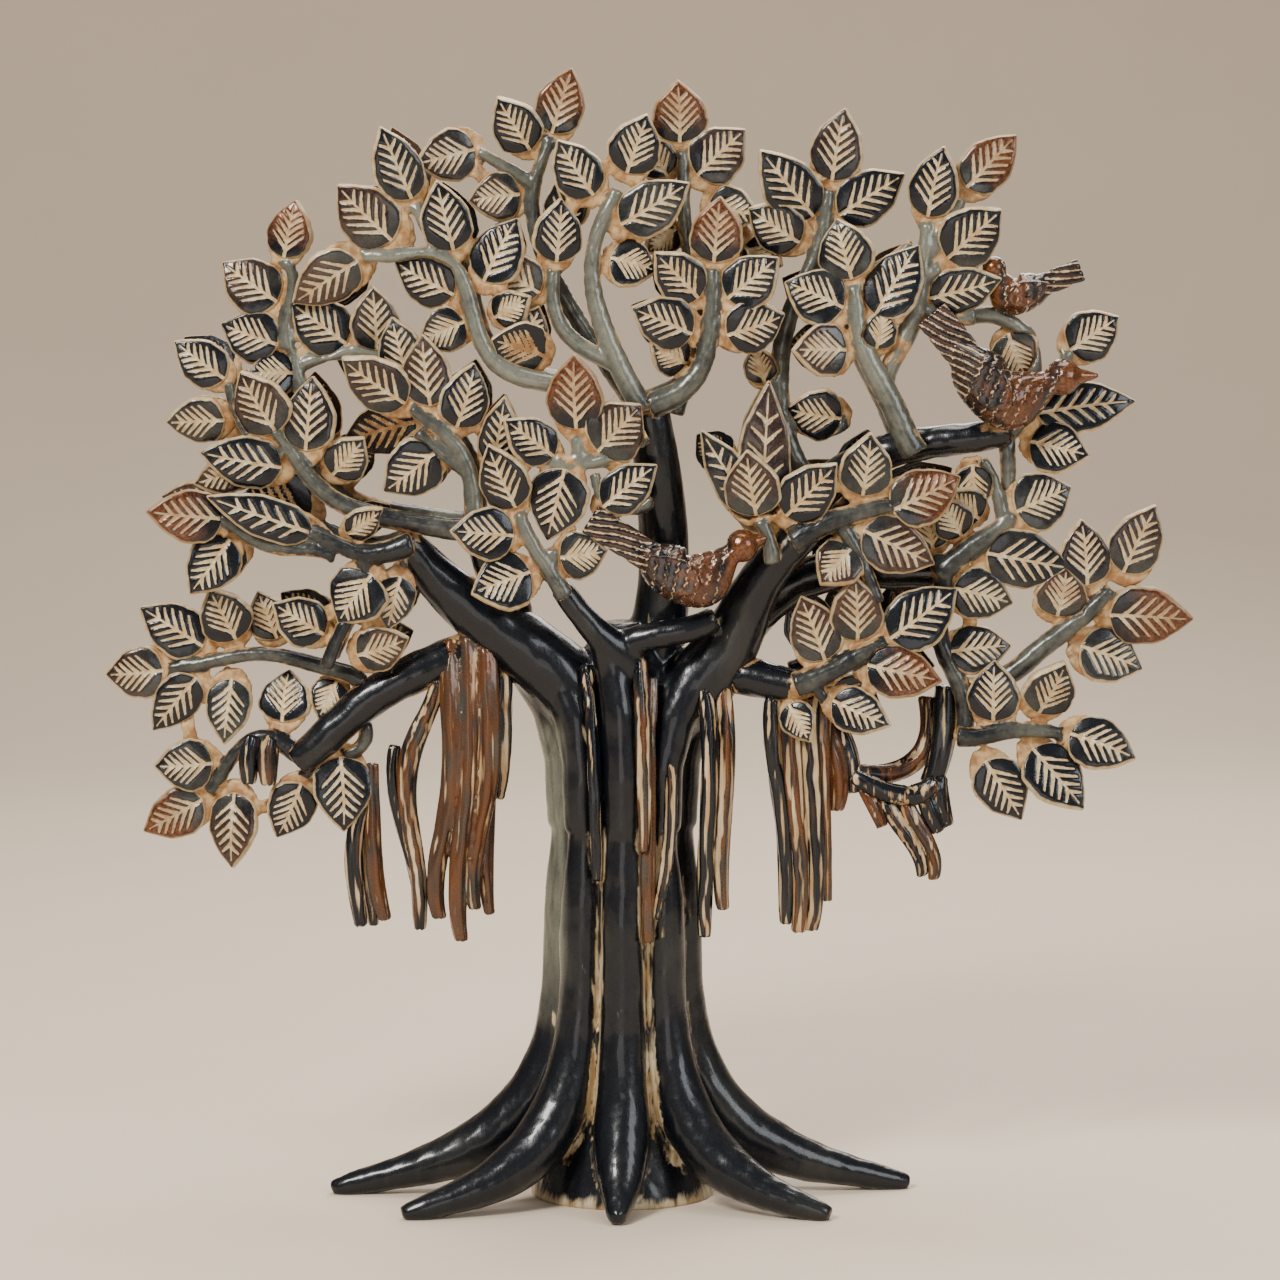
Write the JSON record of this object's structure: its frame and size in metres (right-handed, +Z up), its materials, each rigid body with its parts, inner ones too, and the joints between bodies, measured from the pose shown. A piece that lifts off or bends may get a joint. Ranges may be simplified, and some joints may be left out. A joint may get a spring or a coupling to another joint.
{
  "type": "cast brass tree of life sculpture",
  "caption": "Free-standing cast brass tree with flared roots, spreading boughs, veined leaves on twigs, hanging root bundles and perching birds.",
  "frame": {"origin": "centre of the trunk on the surface the tree stands on", "axes": "+Z up, +X to the right seen from the front, the front faces -Y"},
  "size_m": [0.363, 0.1082, 0.3821],
  "materials": {
    "leaf_brass": "blue-black patina rubbed back to pale brass in the veins and edges",
    "twig_brass": "dark patina with pale brass sides",
    "bird_brass": "warm brown patina, polished on the head and breast",
    "hanging_root_brass": "streaked brown and black patina",
    "trunk_brass": "glossy blue-black patina",
    "bough_brass": "glossy blue-black patina, pale in the hollows"
  },
  "bodies": {
    "root": {"bird_perch": "bough_brass", "centre_bird": "bird_brass", "centre_right_leaves": "leaf_brass", "centre_right_twigs": "twig_brass", "crown_bough": "bough_brass", "crown_centre_leaves": "leaf_brass", "crown_centre_twigs": "twig_brass", "crown_left_leaves": "leaf_brass", "crown_left_twigs": "twig_brass", "crown_right_leaves": "leaf_brass", "crown_right_twigs": "twig_brass", "crown_top_leaves": "leaf_brass", "crown_top_twigs": "twig_brass", "far_right_hanging_roots": "hanging_root_brass", "front_centre_leaves": "leaf_brass", "front_centre_twigs": "twig_brass", "front_fork": "bough_brass", "left_bough": "bough_brass", "left_hanging_roots": "hanging_root_brass", "left_inner_leaves": "leaf_brass", "left_inner_twigs": "twig_brass", "left_middle_leaves": "leaf_brass", "left_middle_twigs": "twig_brass", "left_root_knot": "hanging_root_brass", "left_upper_bough": "bough_brass", "left_upper_leaves": "leaf_brass", "left_upper_twigs": "twig_brass", "lower_left_bough": "bough_brass", "lower_left_leaves": "leaf_brass", "lower_left_twigs": "twig_brass", "lower_right_bough": "bough_brass", "middle_hanging_roots": "hanging_root_brass", "outer_left_hanging_roots": "hanging_root_brass", "rear_roots": "trunk_brass", "right_bird": "bird_brass", "right_bough": "bough_brass", "right_end_leaves": "leaf_brass", "right_end_twigs": "twig_brass", "right_front_leaves": "leaf_brass", "right_front_twigs": "twig_brass", "right_hanging_roots": "hanging_root_brass", "right_inner_leaves": "leaf_brass", "right_inner_twigs": "twig_brass", "right_middle_leaves": "leaf_brass", "right_middle_twigs": "twig_brass", "right_outer_leaves": "leaf_brass", "right_outer_twigs": "twig_brass", "right_rear_bough": "bough_brass", "right_top_leaves": "leaf_brass", "right_top_twigs": "twig_brass", "root_front": "trunk_brass", "root_front_left": "trunk_brass", "root_front_right": "trunk_brass", "root_left": "trunk_brass", "root_right": "trunk_brass", "top_bird": "bird_brass", "trunk_aerial_roots": "hanging_root_brass", "trunk_core": "trunk_brass", "upper_right_bough": "bough_brass"}
  },
  "joints": []
}
